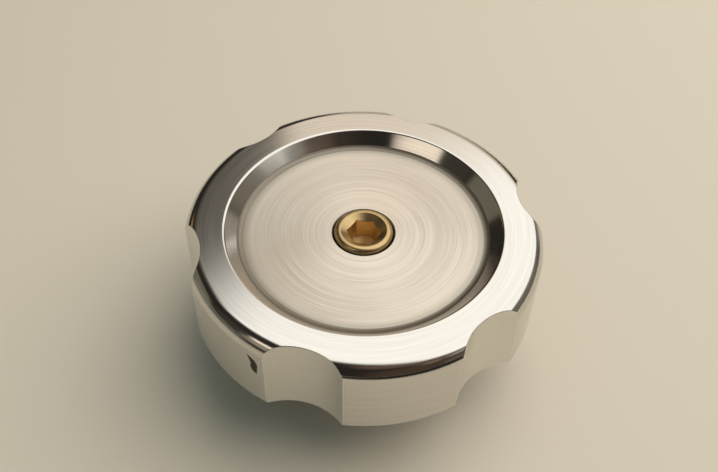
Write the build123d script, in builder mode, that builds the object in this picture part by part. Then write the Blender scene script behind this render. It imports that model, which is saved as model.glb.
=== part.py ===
from build123d import *
import math
import os

# Oil filler cap: a scalloped knob screwed to a threaded plug, with a seal ring between them.
# Millimetres, +Z up. The origin is the middle of the plug's foot, on which the cap stands.
# A scallop is centred on +X.

# Knob, turned from bar and milled
knob_diameter = 60.0
rim_width = 6.8  # flat ring on top, with its two rounded edges
outer_edge_radius = 2.5
foot_chamfer = 0.3
recess_depth = 2.4
recess_wall_angle = 45.0  # slope of the wall between the ring and the floor
recess_edge_radius = 0.6
recess_corner_radius = 1.5
scallop_count = 6
scallop_radius = 10.5
scallop_depth = 2.8
scallop_corner_radius = 0.3
web_thickness = 3.9  # metal between the screw head and the plug

# Cap screw, M6 with a hexagon socket
screw_diameter = 6.0
screw_length = 12.0
screw_end_chamfer = 0.6
head_diameter = 10.0
head_height = 6.0
head_edge_radius = 0.9
head_rim_width = 0.2  # flat rim between the rounded edge and the dish
head_proud = 0.7  # how far the head stands above the recess floor
dish_angle = 30.0  # slope of the cone around the socket
socket_width = 5.0
socket_depth = 4.3
socket_drill_diameter = 4.6
drill_point_angle = 118.0
screw_turn = -17.0  # where the screw came to stop

# Plug, with a coarse filler thread of metric form
thread_diameter = 33.0
thread_pitch = 2.8
thread_depth_ratio = 0.6134  # depth of a metric thread for each millimetre of pitch
thread_flank_angle = 60.0  # between the two sides of the groove
thread_length = 10.8
thread_end_chamfer = 0.8
foot_rim_width = 3.2
foot_relief_depth = 1.2
shoulder_width = 2.7  # seat of the knob on the plug
spigot_height = 3.0
key_depth = 2.0  # how far each flat of the spigot is cut in

# Seal ring
seal_section = 3.0

# Clearances
head_clearance = 0.2
head_mouth_chamfer = 0.2
shank_clearance = 0.3
tapped_clearance = 0.05
tapped_run_out = 1.0
key_clearance = 0.1
spigot_end_clearance = 0.2
neck_relief = 0.05
seal_clearance = 0.05
seal_end_room = 0.2

# Radii and heights that follow
knob_radius = knob_diameter / 2
recess_radius = knob_radius - rim_width
recess_floor_radius = recess_radius - recess_depth / math.tan(math.radians(recess_wall_angle))
scallop_centre_radius = knob_radius + scallop_radius - scallop_depth
head_radius = head_diameter / 2
head_hole_radius = head_radius + head_clearance
head_sink = head_height - head_proud
dish_radius = head_radius - head_edge_radius - head_rim_width
dish_depth = dish_radius * math.tan(math.radians(dish_angle))
screw_radius = screw_diameter / 2
shank_hole_radius = screw_radius + shank_clearance
tapped_radius = screw_radius + tapped_clearance
thread_radius = thread_diameter / 2
thread_depth = thread_depth_ratio * thread_pitch
thread_crest = thread_pitch / 8
thread_root_radius = thread_radius - thread_depth
neck_radius = thread_root_radius - neck_relief
foot_radius = neck_radius
foot_relief_radius = foot_radius - foot_rim_width
neck_length = seal_section + seal_end_room
spigot_radius = neck_radius - shoulder_width
spigot_flats = 2 * (spigot_radius - key_depth)
pocket_depth = spigot_height + spigot_end_clearance
knob_height = recess_depth + head_sink + web_thickness + pocket_depth
seat_z = thread_length + neck_length
top_z = seat_z + knob_height
recess_floor_z = top_z - recess_depth
head_top_z = recess_floor_z + head_proud
head_seat_z = head_top_z - head_height
screw_end_z = head_seat_z - screw_length
socket_bottom_z = head_top_z - socket_depth
tapped_end_z = screw_end_z - tapped_run_out
spigot_top_z = seat_z + spigot_height
drill_point_slope = math.tan(math.radians(90 - drill_point_angle / 2))
seal_centre_radius = neck_radius + seal_clearance + seal_section / 2
seal_centre_z = seat_z - seal_clearance - seal_section / 2

# Thread groove: it starts half a turn below the foot and ends half a turn into the neck,
# and its section reaches a little past the crests
flank_slope = math.tan(math.radians(thread_flank_angle / 2))
groove_start_z = -thread_pitch / 2
groove_height = thread_length + thread_pitch
groove_outer_radius = thread_radius + thread_crest / 2
groove_floor = thread_pitch - thread_crest - 2 * flank_slope * thread_depth
groove_mouth = groove_floor + 2 * flank_slope * (groove_outer_radius - thread_root_radius)

os.makedirs("parts", exist_ok=True)

# Knob
with BuildPart() as knob:
    # Turned form: rim, recess and the stepped hole for the screw
    with BuildSketch(Plane.XZ):
        with BuildLine():
            FilletPolyline(
                (shank_hole_radius, seat_z),
                (knob_radius - foot_chamfer, seat_z),
                (knob_radius, seat_z + foot_chamfer),
                (knob_radius, top_z),
                (recess_radius, top_z),
                (recess_floor_radius, recess_floor_z),
                (head_hole_radius + head_mouth_chamfer, recess_floor_z),
                (head_hole_radius, recess_floor_z - head_mouth_chamfer),
                (head_hole_radius, head_seat_z),
                (shank_hole_radius, head_seat_z),
                radius=[0, 0, 0, outer_edge_radius, recess_edge_radius, recess_corner_radius, 0, 0, 0, 0],
                close=True,
            )
        make_face()
    revolve(axis=Axis.Z)
    # Finger scallops, with the corners they leave rounded off
    with BuildSketch(Plane.XY.offset(seat_z)) as outline:
        Circle(knob_radius)
        with PolarLocations(scallop_centre_radius, scallop_count):
            Circle(scallop_radius, mode=Mode.SUBTRACT)
        fillet(outline.vertices(), scallop_corner_radius)
    extrude(amount=knob_height, mode=Mode.INTERSECT)
    # Pocket for the plug's spigot, with two flats so that the plug turns with the knob
    with BuildSketch(Plane.XY.offset(seat_z)):
        Circle(spigot_radius + key_clearance)
        Rectangle(knob_diameter, spigot_flats + 2 * key_clearance, mode=Mode.INTERSECT)
    extrude(amount=pocket_depth, mode=Mode.SUBTRACT)
knob.part.label = "knob"
export_step(knob.part, "parts/knob.step")

# Cap screw: the head's rounded edge ends at a rim, and a cone falls from there to the socket
with BuildPart() as cap_screw:
    with BuildSketch(Plane.XZ):
        with BuildLine():
            FilletPolyline(
                (0, screw_end_z),
                (screw_radius - screw_end_chamfer, screw_end_z),
                (screw_radius, screw_end_z + screw_end_chamfer),
                (screw_radius, head_seat_z),
                (head_radius, head_seat_z),
                (head_radius, head_top_z),
                (dish_radius, head_top_z),
                (0, head_top_z - dish_depth),
                radius=[0, 0, 0, 0, 0, head_edge_radius, 0, 0],
                close=True,
            )
        make_face()
    revolve(axis=Axis.Z)
    with BuildSketch(Plane.XY.offset(socket_bottom_z)):
        RegularPolygon(socket_width / 2, 6, major_radius=False, rotation=screw_turn)
    extrude(amount=socket_depth, mode=Mode.SUBTRACT)
    with Locations((0, 0, socket_bottom_z)):
        Cone(
            0,
            socket_drill_diameter / 2,
            socket_drill_diameter / 2 * drill_point_slope,
            align=(Align.CENTER, Align.CENTER, Align.MAX),
            mode=Mode.SUBTRACT,
        )
cap_screw.part.label = "cap_screw"
export_step(cap_screw.part, "parts/cap_screw.step")

# Threaded plug: foot, thread, neck for the seal ring, and a spigot that keys into the knob
with BuildPart() as threaded_plug:
    with BuildSketch(Plane.XZ):
        with BuildLine():
            Polyline(
                (0, 0),
                (thread_radius, 0),
                (thread_radius, thread_length - thread_end_chamfer),
                (thread_radius - thread_end_chamfer, thread_length),
                (neck_radius, thread_length),
                (neck_radius, seat_z),
                (0, seat_z),
                close=True,
            )
        make_face()
    revolve(axis=Axis.Z)
    # Thread: a trapezoid groove cut along a helix, in from below the foot and out into the neck
    with BuildLine():
        Helix(thread_pitch, groove_height, thread_root_radius, center=(0, 0, groove_start_z))
    with BuildSketch(Plane.XZ):
        with BuildLine():
            Polyline(
                (thread_root_radius, groove_start_z - groove_floor / 2),
                (groove_outer_radius, groove_start_z - groove_mouth / 2),
                (groove_outer_radius, groove_start_z + groove_mouth / 2),
                (thread_root_radius, groove_start_z + groove_floor / 2),
                close=True,
            )
        make_face()
    sweep(is_frenet=True, mode=Mode.SUBTRACT)
    # Lead-in at 45 degrees, and a relief that leaves a rim to stand on
    with BuildSketch(Plane.XZ):
        with BuildLine():
            Polyline(
                (foot_radius, 0),
                (groove_outer_radius, groove_outer_radius - foot_radius),
                (groove_outer_radius, 0),
                close=True,
            )
        make_face()
    revolve(axis=Axis.Z, mode=Mode.SUBTRACT)
    with BuildSketch():
        Circle(foot_relief_radius)
    extrude(amount=foot_relief_depth, mode=Mode.SUBTRACT)
    # Spigot, and the tapped hole down through it
    with BuildSketch(Plane.XY.offset(seat_z)):
        Circle(spigot_radius)
        Rectangle(knob_diameter, spigot_flats, mode=Mode.INTERSECT)
    extrude(amount=spigot_height)
    with Locations((0, 0, spigot_top_z)):
        Hole(tapped_radius, spigot_top_z - tapped_end_z)
    with Locations((0, 0, tapped_end_z)):
        Cone(
            0,
            tapped_radius,
            tapped_radius * drill_point_slope,
            align=(Align.CENTER, Align.CENTER, Align.MAX),
            mode=Mode.SUBTRACT,
        )
threaded_plug.part.label = "threaded_plug"
export_step(threaded_plug.part, "parts/threaded_plug.step")

# Seal ring, around the plug's neck and against the knob
with BuildPart() as seal_ring:
    with BuildSketch(Plane.XZ):
        with Locations((seal_centre_radius, seal_centre_z)):
            Circle(seal_section / 2)
    revolve(axis=Axis.Z)
seal_ring.part.label = "seal_ring"
export_step(seal_ring.part, "parts/seal_ring.step")
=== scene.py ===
import math

import bpy
from mathutils import Euler, Matrix, Quaternion, Vector


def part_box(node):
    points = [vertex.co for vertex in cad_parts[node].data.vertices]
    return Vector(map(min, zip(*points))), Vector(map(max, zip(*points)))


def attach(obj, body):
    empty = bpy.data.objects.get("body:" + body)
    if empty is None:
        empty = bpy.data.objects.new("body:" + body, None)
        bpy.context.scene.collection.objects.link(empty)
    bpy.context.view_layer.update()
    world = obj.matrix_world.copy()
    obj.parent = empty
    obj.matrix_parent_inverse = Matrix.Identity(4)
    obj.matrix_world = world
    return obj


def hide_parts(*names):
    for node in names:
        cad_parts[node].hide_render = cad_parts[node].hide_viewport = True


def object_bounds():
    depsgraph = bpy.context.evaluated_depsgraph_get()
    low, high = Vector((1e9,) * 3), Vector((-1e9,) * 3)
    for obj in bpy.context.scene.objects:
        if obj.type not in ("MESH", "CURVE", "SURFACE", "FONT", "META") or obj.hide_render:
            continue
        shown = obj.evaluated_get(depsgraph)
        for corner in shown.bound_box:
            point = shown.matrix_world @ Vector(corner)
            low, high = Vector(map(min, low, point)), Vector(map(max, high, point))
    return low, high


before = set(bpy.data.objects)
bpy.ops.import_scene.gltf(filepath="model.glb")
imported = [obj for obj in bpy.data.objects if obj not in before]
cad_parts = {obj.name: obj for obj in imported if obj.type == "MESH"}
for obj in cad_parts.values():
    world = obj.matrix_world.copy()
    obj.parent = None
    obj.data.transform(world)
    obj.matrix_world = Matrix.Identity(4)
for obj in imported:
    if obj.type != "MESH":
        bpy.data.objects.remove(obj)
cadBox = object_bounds()  # box of the CAD model, before anything is dressed
mm = 0.001
knobLow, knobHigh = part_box("knob")
screwLow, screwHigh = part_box("cap_screw")
topCentre = Vector((0, 0, knobHigh.z))
print("frame loaded:", ", ".join(sorted(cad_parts)))


# Shared helpers

colourA, colourB, colourOut = 6, 7, 2  # a mix node's colour sockets, by number as their names repeat
numberA, numberB, numberOut = 2, 3, 0  # and its number sockets
noiseCell = 2  # a cell of noise is two patches wide, one light and one dark
noiseLow, noiseHigh = 0.3, 0.7  # most of a noise pattern lies between these
quarterTurn = math.pi / 2
tiny = 1e-9  # keeps a division off zero


def linear(hexCode):  # sRGB hex to linear colour with alpha
    channels = [int(hexCode[i:i + 2], 16) / 255 for i in (1, 3, 5)]
    return [c / 12.92 if c <= 0.04045 else ((c + 0.055) / 1.055) ** 2.4 for c in channels] + [1]


def addNode(tree, kind, settings=None, inputs=None):  # an input is a value, or a socket to link
    node = tree.nodes.new(kind)
    for name, value in (settings or {}).items():
        setattr(node, name, value)
    for name, value in (inputs or {}).items():
        if isinstance(value, bpy.types.NodeSocket):
            tree.links.new(value, node.inputs[name])
        else:
            node.inputs[name].default_value = value
    return node


def newTree(idBlock):  # an empty node tree for a material or the world
    idBlock.use_nodes = True
    idBlock.node_tree.nodes.clear()
    return idBlock.node_tree


def addObject(name, data):
    thing = bpy.data.objects.new(name, data)
    bpy.context.scene.collection.objects.link(thing)
    return thing


def addMesh(name, points, faces, materials):
    mesh = bpy.data.meshes.new(name)
    mesh.from_pydata(points, [], faces)
    for material in materials:
        mesh.materials.append(material)
    mesh.update()
    return addObject(name, mesh)


# Camera, fitted to the photograph's edges

cameraView = {
    "distance": 153.1 * mm,  # from the middle of the knob's top
    "elevation": 46.83,  # degrees
    "turn": -13.1,  # degrees about the cap's axis
    "tiltDown": 0.87,
    "panLeft": 0.42,
    "roll": 1.33,
    "lens": 46.16,  # mm on a 36 mm sensor
    "nearest": 5 * mm,  # what is nearer isn't drawn
}


def fromCamera(right, away, up):  # a direction as the camera's side sees it, in the cap's frame
    return Matrix.Rotation(math.radians(cameraView["turn"]), 3, "Z") @ Vector((right, away, up))


def towards(azimuth, elevation):  # azimuth 0 is away from the camera, 90 to its right
    turn, rise = math.radians(azimuth), math.radians(elevation)
    level = math.cos(rise)
    return fromCamera(math.sin(turn) * level, math.cos(turn) * level, math.sin(rise))


cameraData = bpy.data.cameras.new("photo_camera")
cameraData.lens = cameraView["lens"]
cameraData.clip_start = cameraView["nearest"]
camera = addObject("photo_camera", cameraData)
camera.location = topCentre + cameraView["distance"] * towards(180, cameraView["elevation"])
aim = Euler((
    math.radians(90 - cameraView["elevation"] - cameraView["tiltDown"]),
    0,
    math.radians(cameraView["turn"] + cameraView["panLeft"]),
))
roll = Quaternion((0, 0, 1), math.radians(cameraView["roll"]))
camera.rotation_mode = "QUATERNION"
camera.rotation_quaternion = aim.to_quaternion() @ roll
bpy.context.scene.camera = camera
bpy.context.scene.view_settings.view_transform = "Standard"
print("camera placed")


# Studio: a pale floor, a softbox overhead on the right, a beige board behind with its foot in shade,
# a window in front on the left, the bench's dark edge in front on the right, and a dim room. A card
# faces the cap. Its outline runs anticlockwise, across and up, and outline and softness are shares of
# its distance from the knob's top.

studio = {
    "floorSize": 6.0,  # m
    "backdropColour": "#d0c4ac",
    "fillColour": "#768380",  # what the room gives to matt surfaces
    "roomColour": "#2c2824",  # what polished metal sees of the room
}
softbox = {
    "azimuth": 0,  # degrees
    "elevation": 90,
    "distance": 0.6,  # m
    "outline": [
        (-0.05, -1.0), (1.75, -1.95), (1.54, -0.05), (1.27, 0.31),
        (0.8, 0.47), (0.42, 0.43), (0.05, 0.1), (-0.53, -0.37),
    ],
    "softness": 0.12,
    "colour": "#fffdf8",
    "glow": 1.47,
}
board = {
    "azimuth": 0,
    "elevation": 0,
    "distance": 0.9,
    "outline": [(-0.135, 0.58), (0.62, 0.58), (0.62, 1.3), (-0.135, 1.2)],
    "softness": 0.012,
    "colour": "#fff0dc",
    "glow": 1.0,
}
boardFoot = {  # its lower part, in its own shade
    "azimuth": 0,
    "elevation": 0,
    "distance": 0.91,
    "outline": [(-0.05, -0.02), (0.3, -0.02), (0.6, 0.6), (-0.135, 0.6)],
    "softness": 0.012,
    "colour": "#fff0dc",
    "glow": 0.6,
}
window = {
    "azimuth": -134,
    "elevation": 44,
    "distance": 0.7,
    "outline": [(-0.26, -0.1), (0.29, -0.1), (0.29, 0.1), (-0.26, 0.1)],
    "softness": 0.04,
    "colour": "#fff0dc",
    "glow": 1.35,
}
benchEdge = {  # where the paper ends and the dark bench shows
    "azimuth": 0,
    "elevation": -90,
    "distance": 0.028,
    "outline": [(-2.1, -25), (21, -25), (21, -2.2), (2.2, -2.2), (-2.1, -4.7)],
    "softness": 0.5,
    "colour": "#2c2824",
    "glow": 1.0,
}
softboxLamp = {  # what lights the floor and casts the shadow
    "azimuth": 66,
    "elevation": 58,
    "distance": 0.64,
    "size": (0.87, 0.81),  # m
    "colour": "#fff8ec",
    "power": 5.6,  # W
}
paperFinish = {
    "colour": "#d8cdbf",
    "roughness": 0.95,
    "gloss": 0.1,
}
roomGlows = [  # soft patches of wall that polished metal sees: full to inner degrees, gone at outer
    {"azimuth": 80, "elevation": 26, "inner": 12, "outer": 40, "colour": "#7c7568"},
    {"azimuth": 45, "elevation": 6, "inner": 5, "outer": 12, "colour": "#a29a8c"},
    {"azimuth": 150, "elevation": 14, "inner": 12, "outer": 34, "colour": "#4f4034"},
    {"azimuth": 134, "elevation": 44, "inner": 6, "outer": 15, "colour": "#5c4c40"},
    {"azimuth": 138, "elevation": 36, "inner": 2, "outer": 7, "colour": "#8a7866"},
    {"azimuth": 122, "elevation": 33, "inner": 3, "outer": 9, "colour": "#a89f8f"},
    {"azimuth": 125, "elevation": 8, "inner": 5, "outer": 15, "colour": "#6a6254"},
    {"azimuth": 152, "elevation": 64, "inner": 4, "outer": 19, "colour": "#6b584a"},
    {"azimuth": -12, "elevation": 46, "inner": 8, "outer": 22, "colour": "#59544b"},
    {"azimuth": -69, "elevation": 21, "inner": 13, "outer": 19, "colour": "#767162"},
    {"azimuth": -101, "elevation": 36, "inner": 8, "outer": 16, "colour": "#413d36"},
    {"azimuth": -50, "elevation": 24, "inner": 3, "outer": 9, "colour": "#a8895a"},
    {"azimuth": -86, "elevation": 8, "inner": 6, "outer": 16, "colour": "#8a8778"},
    {"azimuth": -104, "elevation": 6, "inner": 8, "outer": 18, "colour": "#6e6b60"},
    {"azimuth": -126, "elevation": 27, "inner": 6, "outer": 17, "colour": "#a49b8b"},
]


def outlineDistance(tree, x, y, outline):  # how far outside a convex outline a place is
    distance = None
    for (x0, y0), (x1, y1) in zip(outline, outline[1:] + outline[:1]):
        length = math.hypot(x1 - x0, y1 - y0)
        outX, outY = (y1 - y0) / length, (x0 - x1) / length  # square to this edge
        side = addNode(tree, "ShaderNodeMath", {"operation": "MULTIPLY_ADD"}, {
            0: y,
            1: outY,
            2: -outX * x0 - outY * y0,
        }).outputs[0]
        side = addNode(tree, "ShaderNodeMath", {"operation": "MULTIPLY_ADD"}, {
            0: x,
            1: outX,
            2: side,
        }).outputs[0]
        if distance is not None:
            side = addNode(tree, "ShaderNodeMath", {"operation": "MAXIMUM"}, {
                0: distance,
                1: side,
            }).outputs[0]
        distance = side
    return distance


def insideShare(tree, distance, softness):  # 1 well inside an outline, 0 well outside
    return addNode(tree, "ShaderNodeMapRange", {"interpolation_type": "SMOOTHSTEP"}, {
        "Value": distance,
        "From Min": softness,
        "From Max": -softness,
    }).outputs["Result"]


def cardMaterial(name, card):  # glows inside the card's outline and is clear outside it
    material = bpy.data.materials.new(name)
    tree = newTree(material)
    place = addNode(tree, "ShaderNodeTexCoord").outputs["UV"]
    axes = addNode(tree, "ShaderNodeSeparateXYZ", inputs={0: place}).outputs
    distance = outlineDistance(tree, axes["X"], axes["Y"], card["outline"])
    share = insideShare(tree, distance, card["softness"])
    glow = addNode(tree, "ShaderNodeEmission", inputs={
        "Color": linear(card["colour"]),
        "Strength": card["glow"],
    }).outputs[0]
    clear = addNode(tree, "ShaderNodeBsdfTransparent").outputs[0]
    mixed = addNode(tree, "ShaderNodeMixShader", inputs={0: share, 1: clear, 2: glow}).outputs[0]
    addNode(tree, "ShaderNodeOutputMaterial", inputs={"Surface": mixed})
    return material


def addCard(name, finishName, card):  # a glowing card that only reflections see
    turn, rise = math.radians(card["azimuth"]), math.radians(card["elevation"])
    middle = towards(card["azimuth"], card["elevation"])
    across = fromCamera(math.cos(turn), -math.sin(turn), 0)
    up = fromCamera(-math.sin(turn) * math.sin(rise), -math.cos(turn) * math.sin(rise), math.cos(rise))
    xs, ys = zip(*card["outline"])
    soft = card["softness"]
    left, right, low, high = min(xs) - soft, max(xs) + soft, min(ys) - soft, max(ys) + soft
    places = [(left, low), (right, low), (right, high), (left, high)]
    points = [topCentre + card["distance"] * (middle + x * across + y * up) for x, y in places]
    thing = addMesh(name, points, [(0, 1, 2, 3)], [cardMaterial(finishName, card)])
    layer = thing.data.uv_layers.new(name="card")
    for loop in thing.data.loops:
        layer.data[loop.index].uv = places[loop.vertex_index]
    thing.visible_camera = False
    thing.visible_diffuse = False
    thing.visible_shadow = False


def addLamp(name, lamp):
    lampData = bpy.data.lights.new(name, "AREA")
    lampData.shape = "RECTANGLE"
    lampData.size, lampData.size_y = lamp["size"]
    lampData.energy = lamp["power"]
    lampData.color = linear(lamp["colour"])[:3]
    thing = addObject(name, lampData)
    outward = towards(lamp["azimuth"], lamp["elevation"])
    thing.location = topCentre + lamp["distance"] * outward
    thing.rotation_mode = "QUATERNION"
    thing.rotation_quaternion = outward.to_track_quat("Z", "Y")
    thing.visible_camera = False
    thing.visible_glossy = False


def mattPaper(name, finish):  # uncoated: pale, with no gloss to speak of
    material = bpy.data.materials.new(name)
    tree = newTree(material)
    surface = addNode(tree, "ShaderNodeBsdfPrincipled", inputs={
        "Base Color": linear(finish["colour"]),
        "Roughness": finish["roughness"],
        "Specular IOR Level": finish["gloss"],
    })
    addNode(tree, "ShaderNodeOutputMaterial", inputs={"Surface": surface.outputs[0]})
    return material


def lightRoom(name):  # matt surfaces, polished metal and the camera each see the room their own way
    world = bpy.data.worlds.new(name)
    bpy.context.scene.world = world
    tree = newTree(world)
    direction = addNode(tree, "ShaderNodeTexCoord").outputs["Generated"]
    room = linear(studio["roomColour"])
    for glow in roomGlows:
        facing = addNode(tree, "ShaderNodeVectorMath", {"operation": "DOT_PRODUCT"}, {
            0: direction,
            1: towards(glow["azimuth"], glow["elevation"]),
        }).outputs["Value"]
        share = addNode(tree, "ShaderNodeMapRange", {"interpolation_type": "SMOOTHSTEP"}, {
            "Value": facing,
            "From Min": math.cos(math.radians(glow["outer"])),
            "From Max": math.cos(math.radians(glow["inner"])),
        }).outputs["Result"]
        room = addNode(tree, "ShaderNodeMix", {"data_type": "RGBA"}, {
            "Factor": share,
            colourA: room,
            colourB: linear(glow["colour"]),
        }).outputs[colourOut]
    rays = addNode(tree, "ShaderNodeLightPath").outputs
    seen = linear(studio["fillColour"])
    for ray, colour in (("Is Glossy Ray", room), ("Is Camera Ray", linear(studio["backdropColour"]))):
        seen = addNode(tree, "ShaderNodeMix", {"data_type": "RGBA"}, {
            "Factor": rays[ray],
            colourA: seen,
            colourB: colour,
        }).outputs[colourOut]
    background = addNode(tree, "ShaderNodeBackground", inputs={"Color": seen})
    addNode(tree, "ShaderNodeOutputWorld", inputs={"Surface": background.outputs[0]})


addCard("softbox_face", "softbox cloth", softbox)
addCard("board_face", "beige board", board)
addCard("board_foot", "shaded board", boardFoot)
addCard("window_face", "window light", window)
addCard("bench_edge", "dark bench", benchEdge)
addLamp("softbox_lamp", softboxLamp)
paper = mattPaper("matt paper", paperFinish)
half = studio["floorSize"] / 2
corners = [(x * half, y * half, cadBox[0].z) for x, y in ((-1, -1), (1, -1), (1, 1), (-1, 1))]
addMesh("paper_floor", corners, [(0, 1, 2, 3)], [paper])
lightRoom("dim_room")
print("studio lit")


# Aluminium in four finishes. The tool or the polishing wheel leaves fine lines across which
# reflections spread, so each finish has a line spacing, a spread and a roughness.

polishedFinish = {  # off the wheel: close to a mirror, with faint streaks
    "colour": "#d6d3cd",
    "lineColour": "#cecac4",
    "lineWidth": 0.35,  # mm; real wheel lines are about 0.05, too fine to show, so drawn coarser
    "lineLength": 14,  # mm along the line before it fades into another
    "roughness": (0.1, 0.15),
    "spread": 0.6,  # how much further reflections spread across the lines than along them
    "lineHeight": 0.0004,  # mm
}
turnedFinish = {  # off the lathe: satin rings that spread the light from the middle outwards
    "colour": "#dfd6c9",
    "lineColour": "#d2c8b9",
    "lineWidth": 0.3,  # mm; a fine turning feed is about 0.1, too fine to show, so drawn coarser
    "lineLength": 16,
    "roughness": (0.34, 0.42),
    "spread": 0.75,
    "lineHeight": 0.001,
    "cornerShadeStart": 18.6,  # mm from the axis, where the painted shade starts, darker towards the dish's corner
    "cornerShadeEnd": 20.4,
    # painted shade: the floor's colour next to the dish's corner, where the wall shades it
    "cornerShadeColour": "#b3ada1",
    "coreStart": 7.0,  # mm from the axis; towards the middle the floor is rubbed smoother
    "coreEnd": 15.0,
    "coreRoughness": -0.06,  # added to the roughness there
}
cornerShadeFinish = {  # corner of the dish and the screw's hole: rougher, with a darker grey painted in as the shade in the corner
    "colour": "#9c9488",
    "lineColour": "#8d8578",
    "lineWidth": 0.3,
    "lineLength": 12,
    "roughness": (0.45, 0.52),
    "spread": 0.0,
    "lineHeight": 0.0005,
}
milledFinish = {  # off a round cutter: even satin, with a soft picture of the floor
    "colour": "#e4e1da",
    "lineColour": "#dfdcd5",
    "lineWidth": 0.3,  # mm; cutter marks, drawn coarser than the real 0.1
    "lineLength": 10,
    "roughness": (0.3, 0.36),
    "spread": 0.3,
    "lineHeight": 0.0002,
}
streakNoise = {
    "detail": 2.0,  # finer lines within each line
    "roughness": 0.6,  # how strong they are
}
wallMark = {  # dark patch on the wall, beside a scallop: matt and not metallic
    "azimuth": -136,  # degrees about the cap's axis
    "shapes": [  # convex outlines that overlap: mm along the wall and mm below the knob's top
        [(-1.07, 3.53), (0.45, 4.27), (0.3, 5.3), (-0.42, 5.46)],
        [(0.45, 4.27), (0.86, 5.37), (0.58, 7.69), (-0.3, 7.26), (-0.63, 6.28), (-0.42, 5.46)],
    ],
    "softness": 0.1,  # mm
    "nearestRadius": 20,  # mm from the axis; inside that there is no dark patch
    "colour": "#362e21",
    "roughness": 0.6,
}


def placeInMm(tree):  # a place on the piece, and the same laid flat, from the cap's axis
    objectPlace = addNode(tree, "ShaderNodeTexCoord").outputs["Object"]
    place = addNode(tree, "ShaderNodeVectorMath", {"operation": "SCALE"}, {
        0: objectPlace,
        "Scale": 1 / mm,
    }).outputs[0]
    flat = addNode(tree, "ShaderNodeVectorMath", {"operation": "MULTIPLY"}, {
        0: place,
        1: (1, 1, 0),
    }).outputs[0]
    return place, flat


def streakPattern(tree, finish, place, radius):  # noise drawn out into lines that run around the axis
    axes = addNode(tree, "ShaderNodeSeparateXYZ", inputs={0: place}).outputs
    lines = {}  # quick change with radius and height, slow change along the lines
    for key, value, width in (
        ("radius", radius, finish["lineWidth"]),
        ("height", axes["Z"], finish["lineWidth"]),
        ("right", axes["X"], finish["lineLength"]),
        ("away", axes["Y"], finish["lineLength"]),
    ):
        lines[key] = addNode(tree, "ShaderNodeMath", {"operation": "DIVIDE"}, {
            0: value,
            1: width,
        }).outputs[0]
    spot = addNode(tree, "ShaderNodeCombineXYZ", inputs={
        "X": lines["radius"],
        "Y": lines["height"],
        "Z": lines["right"],
    }).outputs[0]
    return addNode(tree, "ShaderNodeTexNoise", {"noise_dimensions": "4D"}, {
        "Vector": spot,
        "W": lines["away"],
        "Scale": 1.0,  # the spot is in line widths and lengths already
        "Detail": streakNoise["detail"],
        "Roughness": streakNoise["roughness"],
    }).outputs[0]


def markMask(tree, place, mark):  # 1 inside the dark patch's outlines, 0 outside
    turn = math.radians(mark["azimuth"])
    axes = []
    for axis in (
        (-math.sin(turn), math.cos(turn), 0),
        (math.cos(turn), math.sin(turn), 0),
        (0, 0, 1),
    ):
        axes.append(addNode(tree, "ShaderNodeVectorMath", {"operation": "DOT_PRODUCT"}, {
            0: place,
            1: axis,
        }).outputs["Value"])
    along, outward, height = axes
    below = addNode(tree, "ShaderNodeMath", {"operation": "SUBTRACT"}, {
        0: topCentre.z / mm,
        1: height,
    }).outputs[0]
    nearest = None
    for shape in mark["shapes"]:
        distance = outlineDistance(tree, along, below, shape)
        if nearest is not None:
            distance = addNode(tree, "ShaderNodeMath", {"operation": "MINIMUM"}, {
                0: nearest,
                1: distance,
            }).outputs[0]
        nearest = distance
    onWall = addNode(tree, "ShaderNodeMath", {"operation": "GREATER_THAN"}, {
        0: outward,
        1: mark["nearestRadius"],
    }).outputs[0]
    inside = insideShare(tree, nearest, mark["softness"])
    return addNode(tree, "ShaderNodeMath", {"operation": "MULTIPLY"}, {0: inside, 1: onWall}).outputs[0]


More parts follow.
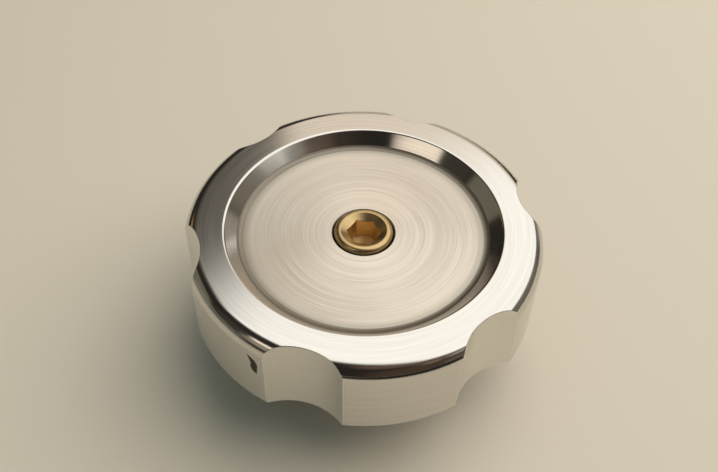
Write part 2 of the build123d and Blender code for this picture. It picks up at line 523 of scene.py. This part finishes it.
def aluminium(name, finish, mark=None):
    material = bpy.data.materials.new(name)
    tree = newTree(material)
    place, flat = placeInMm(tree)
    radius = addNode(tree, "ShaderNodeVectorMath", {"operation": "LENGTH"}, {0: flat}).outputs["Value"]
    outward = addNode(tree, "ShaderNodeVectorMath", {"operation": "NORMALIZE"}, {0: flat}).outputs[0]
    streaks = streakPattern(tree, finish, place, radius)
    clear = addNode(tree, "ShaderNodeMapRange", inputs={
        "Value": streaks,
        "From Min": noiseLow,
        "From Max": noiseHigh,
    }).outputs["Result"]
    colour = addNode(tree, "ShaderNodeMix", {"data_type": "RGBA"}, {
        "Factor": clear,
        colourA: linear(finish["colour"]),
        colourB: linear(finish["lineColour"]),
    }).outputs[colourOut]
    smooth, rough = finish["roughness"]
    roughness = addNode(tree, "ShaderNodeMapRange", inputs={
        "Value": clear,
        "To Min": smooth,
        "To Max": rough,
    }).outputs["Result"]
    metallic = 1.0
    # painted shade: the floor darkens towards the dish's corner, where its wall shades it
    if "cornerShadeColour" in finish:
        share = addNode(tree, "ShaderNodeMapRange", {"interpolation_type": "SMOOTHSTEP"}, {
            "Value": radius,
            "From Min": finish["cornerShadeStart"],
            "From Max": finish["cornerShadeEnd"],
        }).outputs["Result"]
        colour = addNode(tree, "ShaderNodeMix", {"data_type": "RGBA"}, {
            "Factor": share,
            colourA: colour,
            colourB: linear(finish["cornerShadeColour"]),
        }).outputs[colourOut]
    if "coreRoughness" in finish:
        extra = addNode(tree, "ShaderNodeMapRange", {"interpolation_type": "SMOOTHSTEP"}, {
            "Value": radius,
            "From Min": finish["coreStart"],
            "From Max": finish["coreEnd"],
            "To Min": finish["coreRoughness"],
            "To Max": 0.0,
        }).outputs["Result"]
        roughness = addNode(tree, "ShaderNodeMath", {"operation": "ADD"}, {
            0: roughness,
            1: extra,
        }).outputs[0]
    if mark:
        mask = markMask(tree, place, mark)
        colour = addNode(tree, "ShaderNodeMix", {"data_type": "RGBA"}, {
            "Factor": mask,
            colourA: colour,
            colourB: linear(mark["colour"]),
        }).outputs[colourOut]
        roughness = addNode(tree, "ShaderNodeMix", inputs={
            "Factor": mask,
            numberA: roughness,
            numberB: mark["roughness"],
        }).outputs[numberOut]
        metallic = addNode(tree, "ShaderNodeMath", {"operation": "SUBTRACT"}, {
            0: metallic,
            1: mask,
        }).outputs[0]
    bump = addNode(tree, "ShaderNodeBump", inputs={
        "Distance": finish["lineHeight"] * mm,
        "Height": streaks,
    }).outputs["Normal"]
    surface = addNode(tree, "ShaderNodeBsdfPrincipled", inputs={
        "Base Color": colour,
        "Metallic": metallic,
        "Roughness": roughness,
        "Anisotropic": finish["spread"],
        "Tangent": outward,
        "Normal": bump,
    })
    addNode(tree, "ShaderNodeOutputMaterial", inputs={"Surface": surface.outputs[0]})
    return material


polishedAluminium = aluminium("polished aluminium", polishedFinish, wallMark)
turnedAluminium = aluminium("turned aluminium", turnedFinish)
milledAluminium = aluminium("milled aluminium", milledFinish)
cornerShadeAluminium = aluminium("aluminium painted with corner shade", cornerShadeFinish)
print("aluminium finishes made")


# Knob: turned from aluminium bar, rim and wall polished, floor of the dish left as turned,
# finger scallops milled with a round cutter

knobSize = {
    "radius": 30 * mm,
    "topZ": knobHigh.z,
    "seatZ": knobLow.z,
    "rimWidth": 6.8 * mm,
    "outerEdge": 2.5 * mm,  # radius of the rim's rounded outer edge
    "innerEdge": 0.6 * mm,
    "recessDepth": 2.4 * mm,
    "recessSlope": 45,  # degrees, of the wall around the dish
    "recessCorner": 1.5 * mm,
    "scallops": 6,
    "scallopRadius": 10.5 * mm,
    "scallopDepth": 2.8 * mm,
    "scallopCorner": 0.3 * mm,
    "edgeBreak": 0.12 * mm,  # milled edges, broken with a file
    "footChamfer": 0.3 * mm,
    "headHole": 5.2 * mm,
    "headMouth": 0.2 * mm,
    "headSeat": 7.1 * mm,  # above the knob's underside
    "shankHole": 3.3 * mm,
    "pocketRadius": 12.1325 * mm,  # keyed pocket for the plug
    "pocketHalfWidth": 10.1325 * mm,
    "pocketDepth": 3.2 * mm,
    "sharpFrom": 30,  # degrees; edges that turn by more stay sharp
    "steps": {  # of the mesh, along each stretch of the outline and of the section
        "scallop": 24, "scallopCorner": 8, "grip": 24,
        "dish": 8, "corner": 16, "slope": 4, "bend": 10, "ring": 4, "rim": 36, "wall": 6, "under": 3,
    },
}
angleDigits = 9  # columns whose angles agree to so many decimals are one
heldEdge = 0.03 * mm  # a row this near each end of a straight stretch keeps its shading flat
heldShare = 0.25  # of a step, the most that such a row takes
polished, turned, milled, cornered = 0, 1, 2, 3  # the knob's material slots


def scallopAngles(size):  # the scallop's centre radius, and half angles where it and its corner end
    centre = size["radius"] + size["scallopRadius"] - size["scallopDepth"]
    inner, outer = size["radius"] - size["scallopCorner"], size["scallopRadius"] + size["scallopCorner"]
    cornerEnd = math.acos((inner ** 2 + centre ** 2 - outer ** 2) / (2 * inner * centre))
    share = size["scallopCorner"] / outer  # from the corner's centre towards the scallop's
    x = inner * math.cos(cornerEnd) * (1 - share) + centre * share
    y = inner * math.sin(cornerEnd) * (1 - share)
    return centre, math.atan2(y, x), cornerEnd


def fromScallop(size, angle):  # angle from the middle of the nearest scallop
    step = math.tau / size["scallops"]
    return abs((angle + step / 2) % step - step / 2)


def outlineRadius(size, angle):  # radius of the scalloped outline at an angle about the axis
    centre, scallopEnd, cornerEnd = scallopAngles(size)
    off = fromScallop(size, angle)
    if off < scallopEnd:
        across = centre * math.sin(off)
        return centre * math.cos(off) - math.sqrt(size["scallopRadius"] ** 2 - across ** 2)
    if off < cornerEnd:
        inner = size["radius"] - size["scallopCorner"]
        across = inner * math.sin(off - cornerEnd)
        return inner * math.cos(off - cornerEnd) + math.sqrt(size["scallopCorner"] ** 2 - across ** 2)
    return size["radius"]


def knobAngles(size):  # columns of the mesh, closer where the outline turns
    scallopEnd, cornerEnd = scallopAngles(size)[1:]
    step = math.tau / size["scallops"]
    halfStep = [step / 2]
    for first, last, stretch in (
        (0, scallopEnd, "scallop"),
        (scallopEnd, cornerEnd, "scallopCorner"),
        (cornerEnd, step / 2, "grip"),
    ):
        count = size["steps"][stretch]
        halfStep += [first + (last - first) * i / count for i in range(count)]
    angles = [
        i * step + side * off
        for i in range(size["scallops"]) for off in halfStep for side in (-1, 1)
    ]
    keyCorner = math.asin(size["pocketHalfWidth"] / size["pocketRadius"])
    angles += [keyCorner, math.pi - keyCorner, math.pi + keyCorner, math.tau - keyCorner]
    return sorted({round(angle % math.tau, angleDigits) for angle in angles})


def arc(centre, radius, first, last, steps):  # section points; degrees from upright, + outwards
    turns = [math.radians(first + (last - first) * i / steps) for i in range(steps + 1)]
    return [(centre[0] + radius * math.sin(t), centre[1] + radius * math.cos(t)) for t in turns]


def between(first, last, steps):  # points inside a straight stretch of the section
    (r0, z0), (r1, z1) = first, last
    held = min(heldShare / steps, heldEdge / max(tiny, math.hypot(r1 - r0, z1 - z0)))
    shares = [held] + [i / steps for i in range(1, steps)] + [1 - held]
    return [(r0 + (r1 - r0) * s, z0 + (z1 - z0) * s) for s in shares]


def finishedRows(stretches):  # section rows, each with the finish of the stretch that it belongs to
    return [(finish, point) for finish, points in stretches for point in points]


def rimSection(size, cut):  # rounded outer edge, and the small broken edge where a scallop cuts into it
    top, edge, bulge = size["topZ"], size["edgeBreak"], size["outerEdge"]
    ringEnd = size["radius"] - bulge
    lean = math.asin(min(1, max(0, (cut - ringEnd) / bulge)))
    back = edge * math.tan((quarterTurn - lean) / 2)
    start = lean - back / bulge
    if start <= 0:
        lean, back, start = 0, edge, 0
    cutZ = top - bulge * (1 - math.cos(lean))
    rim = []
    steps = size["steps"]["rim"]
    for i in range(steps + 1):
        turn = quarterTurn * i / steps
        if turn < start:
            r, z = ringEnd + bulge * math.sin(turn), top - bulge * (1 - math.cos(turn))
        else:
            fall = lean + (turn - start) / (quarterTurn - start) * (quarterTurn - lean)
            r, z = cut - edge * (1 - math.sin(fall)), min(top, cutZ - back + edge * math.cos(fall))
        rim.append((r, z))
    return rim


def knobSection(size, angle):  # closed section at one angle about the axis
    top, seat, steps = size["topZ"], size["seatZ"], size["steps"]
    floorZ = top - size["recessDepth"]
    mouthR = size["radius"] - size["rimWidth"]
    cut = outlineRadius(size, angle)
    # floor of the dish, concave corner, sloped wall and convex edge
    lean = size["recessSlope"]
    halfTurn = math.tan(math.radians(lean / 2))
    wallEnd = mouthR - size["recessDepth"] / math.tan(math.radians(lean))
    floorStart = (size["headHole"] + size["headMouth"], floorZ)
    bow = size["recessCorner"]
    corner = arc((wallEnd - bow * halfTurn, floorZ + bow), bow, 180, 180 - lean, steps["corner"])
    bow = size["innerEdge"]
    bend = arc((mouthR + bow * halfTurn, top - bow), bow, -lean, 0, steps["bend"])
    dish = between(floorStart, corner[0], steps["dish"]) + corner[:1]
    slope = between(corner[-1], bend[0], steps["slope"]) + bend
    # flat ring, outer edge, side wall and foot chamfer
    rim = rimSection(size, cut)
    ring = between(bend[-1], rim[0], steps["ring"])
    chamfer = max(size["edgeBreak"], size["footChamfer"] - (size["radius"] - cut))
    wallFoot = (cut, seat + chamfer)
    wall = between(rim[-1], wallFoot, steps["wall"]) + [wallFoot]
    foot = [(cut - chamfer, seat)]
    # underside, keyed pocket and stepped hole for the screw
    key = min(size["pocketRadius"], size["pocketHalfWidth"] / max(tiny, abs(math.sin(angle))))
    pocketZ, headZ = seat + size["pocketDepth"], seat + size["headSeat"]
    under = between(foot[0], (key, seat), steps["under"]) + [(key, seat), (key, pocketZ)]
    hole = [(size["shankHole"], pocketZ), (size["shankHole"], headZ), (size["headHole"], headZ)]
    hole.append((size["headHole"], floorZ - size["headMouth"]))
    # the cornered slot carries painted shade: the dish's corner and the screw's hole are coloured darker
    return finishedRows((
        (cornered, [floorStart]), (turned, dish), (cornered, corner[1:]), (polished, slope),
        (polished, ring), (polished, rim), (milled, wall), (polished, foot), (turned, under),
        (cornered, hole),
    ))


def columnPoints(angles, columns):  # section rows turned to their angles about the axis
    return [
        (r * math.cos(angle), r * math.sin(angle), z)
        for angle, column in zip(angles, columns) for finish, (r, z) in column
    ]


def finishMesh(thing, finishes, sharpFrom):  # a material slot for each face, smooth but for real corners
    thing.data.polygons.foreach_set("material_index", finishes)
    thing.data.shade_smooth()
    thing.data.set_sharp_from_angle(angle=math.radians(sharpFrom))


def buildKnob(size, materials):
    angles = knobAngles(size)
    columns = [knobSection(size, angle) for angle in angles]
    rows = len(columns[0])
    cornerEnd = scallopAngles(size)[2]
    faces, finishes = [], []
    for i, angle in enumerate(angles):
        n = (i + 1) % len(angles)
        middle = angle + ((angles[n] - angle) % math.tau) / 2
        inScallop = fromScallop(size, middle) < cornerEnd
        for row in range(rows):
            up = (row + 1) % rows
            faces.append((i * rows + row, n * rows + row, n * rows + up, i * rows + up))
            finish = columns[i][up][0]
            if finish == milled and not inScallop:
                finish = polished
            finishes.append(finish)
    knob = addMesh("polished_knob", columnPoints(angles, columns), faces, materials)
    finishMesh(knob, finishes, size["sharpFrom"])
    return knob


knob = buildKnob(knobSize, [polishedAluminium, turnedAluminium, milledAluminium, cornerShadeAluminium])
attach(knob, "root")
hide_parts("knob")
print("knob built:", len(knob.data.polygons), "faces")


# Cap screw: brass, turned, with a broached hexagon socket and the drill's point below it

screwSize = {
    "topZ": screwHigh.z,
    "endZ": screwLow.z,
    "headRadius": 5 * mm,
    "headHeight": 6 * mm,
    "headEdge": 0.9 * mm,
    "rimWidth": 0.2 * mm,
    "rimRound": 0.15 * mm,  # between the rim and the dish around the socket
    "dishAngle": 30,  # degrees
    "socketSides": 6,
    "socketHalfWidth": 2.5 * mm,
    "socketDepth": 4.3 * mm,
    "socketRound": 0.1 * mm,
    "drillRadius": 2.3 * mm,
    "drillPoint": 118,  # degrees
    "shankRadius": 3 * mm,
    "endChamfer": 0.6 * mm,
    "turn": -17,  # degrees, where it came to stop
    "sharpFrom": 25,  # degrees; edges that turn by more stay sharp
    "steps": {  # of the mesh, along a side of the socket and along each stretch of the section
        "side": 24, "socket": 4, "mouth": 5, "dish": 5, "rim": 5, "edge": 14, "headWall": 4,
    },
}
headFinish = {  # turned: gold, bright, with broad highlights
    "colour": "#cdb487",
    "dullColour": "#bfa372",
    "cloudWidth": 1.2,  # mm; patches where the shine is a little duller
    "lineWidth": 0.3,  # mm; turning lines, drawn coarser than the real 0.05
    "roughness": (0.26, 0.34),
    "lineHeight": 0.0005,  # mm
}
socketFinish = {  # broached flats, scraped a little duller than the head; their paler colour is painted light inside the socket
    "colour": "#f6e2b6",
    "dullColour": "#ecd29e",
    "cloudWidth": 0.8,
    "lineWidth": 0.4,
    "roughness": (0.3, 0.4),
    "lineHeight": 0.001,
}
drilledFinish = {  # bottom of the socket, rough from the drill: nearly matt, its pale colour painted light in the deep socket
    "colour": "#ecca96",
    "dullColour": "#dcb67e",
    "cloudWidth": 0.8,
    "lineWidth": 0.4,
    "roughness": (0.6, 0.7),
    "lineHeight": 0.001,
}
brassNoise = {
    "cloudDetail": 3.0,  # finer patches within each patch
    "lineDetail": 1.0,
}
bright, broached, drilled = 0, 1, 2  # the screw's material slots


def brass(name, finish):  # gold, with faint lines around the axis; bright or dull by its roughness
    material = bpy.data.materials.new(name)
    tree = newTree(material)
    place, flat = placeInMm(tree)
    radius = addNode(tree, "ShaderNodeVectorMath", {"operation": "LENGTH"}, {0: flat}).outputs["Value"]
    clouds = addNode(tree, "ShaderNodeTexNoise", inputs={
        "Vector": place,
        "Scale": 1 / (noiseCell * finish["cloudWidth"]),
        "Detail": brassNoise["cloudDetail"],
    }).outputs[0]
    height = addNode(tree, "ShaderNodeSeparateXYZ", inputs={0: place}).outputs["Z"]
    spot = addNode(tree, "ShaderNodeCombineXYZ", inputs={"X": radius, "Y": height}).outputs[0]
    lines = addNode(tree, "ShaderNodeTexNoise", {"noise_dimensions": "2D"}, {
        "Vector": spot,
        "Scale": 1 / (noiseCell * finish["lineWidth"]),
        "Detail": brassNoise["lineDetail"],
    }).outputs[0]
    colour = addNode(tree, "ShaderNodeMix", {"data_type": "RGBA"}, {
        "Factor": clouds,
        colourA: linear(finish["colour"]),
        colourB: linear(finish["dullColour"]),
    }).outputs[colourOut]
    smooth, rough = finish["roughness"]
    roughness = addNode(tree, "ShaderNodeMapRange", inputs={
        "Value": clouds,
        "From Min": noiseLow,
        "From Max": noiseHigh,
        "To Min": smooth,
        "To Max": rough,
    }).outputs["Result"]
    bump = addNode(tree, "ShaderNodeBump", inputs={
        "Distance": finish["lineHeight"] * mm,
        "Height": lines,
    }).outputs["Normal"]
    surface = addNode(tree, "ShaderNodeBsdfPrincipled", inputs={
        "Base Color": colour,
        "Metallic": 1.0,
        "Roughness": roughness,
        "Normal": bump,
    })
    addNode(tree, "ShaderNodeOutputMaterial", inputs={"Surface": surface.outputs[0]})
    return material


def screwSection(size, angle):  # from the drill's edge up the socket, over the head, down the shank
    top, steps = size["topZ"], size["steps"]
    side = math.tau / size["socketSides"]
    fromFlat = (angle - math.radians(size["turn"])) % side - side / 2
    socketR = size["socketHalfWidth"] / math.cos(fromFlat)
    socketZ, seatZ = top - size["socketDepth"], top - size["headHeight"]
    lean = size["dishAngle"]
    rise = math.radians(lean)
    headR, shankR, endZ = size["headRadius"], size["shankRadius"], size["endZ"]
    dishR = headR - size["headEdge"] - size["rimWidth"]
    mouthZ = top - (dishR - socketR) * math.tan(rise)
    bow = size["socketRound"]
    mouthCentre = (socketR + bow, mouthZ + bow * math.tan(rise) - bow / math.cos(rise))
    mouth = arc(mouthCentre, bow, -90, -lean, steps["mouth"])
    bow = size["rimRound"]
    rim = arc((dishR + bow * math.tan(rise / 2), top - bow), bow, -lean, 0, steps["rim"])
    bow = size["headEdge"]
    edge = arc((headR - bow, top - bow), bow, 0, 90, steps["edge"])
    bottom = [(size["drillRadius"], socketZ), (socketR, socketZ)]
    socket = between(bottom[-1], mouth[0], steps["socket"]) + mouth[:1]
    head = mouth[1:] + between(mouth[-1], rim[0], steps["dish"]) + rim + edge
    head += between(edge[-1], (headR, seatZ), steps["headWall"])
    shank = [(headR, seatZ), (shankR, seatZ), (shankR, endZ + size["endChamfer"])]
    shank.append((shankR - size["endChamfer"], endZ))
    return finishedRows(((drilled, bottom), (broached, socket), (bright, head), (bright, shank)))


def buildScrew(size, materials):
    count = size["socketSides"] * size["steps"]["side"]
    angles = [math.radians(size["turn"]) + math.tau * i / count for i in range(count)]
    columns = [screwSection(size, angle) for angle in angles]
    rows = len(columns[0])
    points = columnPoints(angles, columns)
    drillTip = size["drillRadius"] / math.tan(math.radians(size["drillPoint"] / 2))
    points += [(0, 0, size["topZ"] - size["socketDepth"] - drillTip), (0, 0, size["endZ"])]
    tip, end = len(points) - 2, len(points) - 1
    faces, finishes = [], []
    for i in range(count):
        n = (i + 1) % count
        faces.append((tip, n * rows, i * rows))
        finishes.append(drilled)
        for row in range(rows - 1):
            up = row + 1
            faces.append((i * rows + row, n * rows + row, n * rows + up, i * rows + up))
            finishes.append(columns[i][up][0])
        faces.append((end, i * rows + rows - 1, n * rows + rows - 1))
        finishes.append(bright)
    screw = addMesh("brass_screw", points, faces, materials)
    finishMesh(screw, finishes, size["sharpFrom"])
    return screw


screw = buildScrew(screwSize, [
    brass("bright brass", headFinish),
    brass("broached brass", socketFinish),
    brass("drilled brass", drilledFinish),
])
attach(screw, "root")
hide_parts("cap_screw")
print("screw built:", len(screw.data.polygons), "faces")


# Plug and seal ring keep their CAD shapes and take their finishes

rubberFinish = {
    "colour": "#1f1e1c",
    "dustColour": "#2e2c29",
    "grain": 0.25,  # mm; moulded skin, drawn coarser than the real grain
    "grainDetail": 2.0,
    "roughness": 0.55,
    "ior": 1.52,
    "grainHeight": 0.01,  # mm
}


def nitrileRubber(name, finish):  # moulded: black, satin, with a soft broad shine
    material = bpy.data.materials.new(name)
    tree = newTree(material)
    objectPlace = addNode(tree, "ShaderNodeTexCoord").outputs["Object"]
    grain = addNode(tree, "ShaderNodeTexNoise", inputs={
        "Vector": objectPlace,
        "Scale": 1 / (noiseCell * finish["grain"] * mm),
        "Detail": finish["grainDetail"],
    }).outputs[0]
    colour = addNode(tree, "ShaderNodeMix", {"data_type": "RGBA"}, {
        "Factor": grain,
        colourA: linear(finish["colour"]),
        colourB: linear(finish["dustColour"]),
    }).outputs[colourOut]
    bump = addNode(tree, "ShaderNodeBump", inputs={
        "Distance": finish["grainHeight"] * mm,
        "Height": grain,
    }).outputs["Normal"]
    surface = addNode(tree, "ShaderNodeBsdfPrincipled", inputs={
        "Base Color": colour,
        "Roughness": finish["roughness"],
        "IOR": finish["ior"],
        "Normal": bump,
    })
    addNode(tree, "ShaderNodeOutputMaterial", inputs={"Surface": surface.outputs[0]})
    return material


for name, material in (
    ("threaded_plug", turnedAluminium),
    ("seal_ring", nitrileRubber("nitrile rubber", rubberFinish)),
):
    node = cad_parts[name]
    node.data.materials.clear()
    node.data.materials.append(material)
print("plug and seal ring finished")
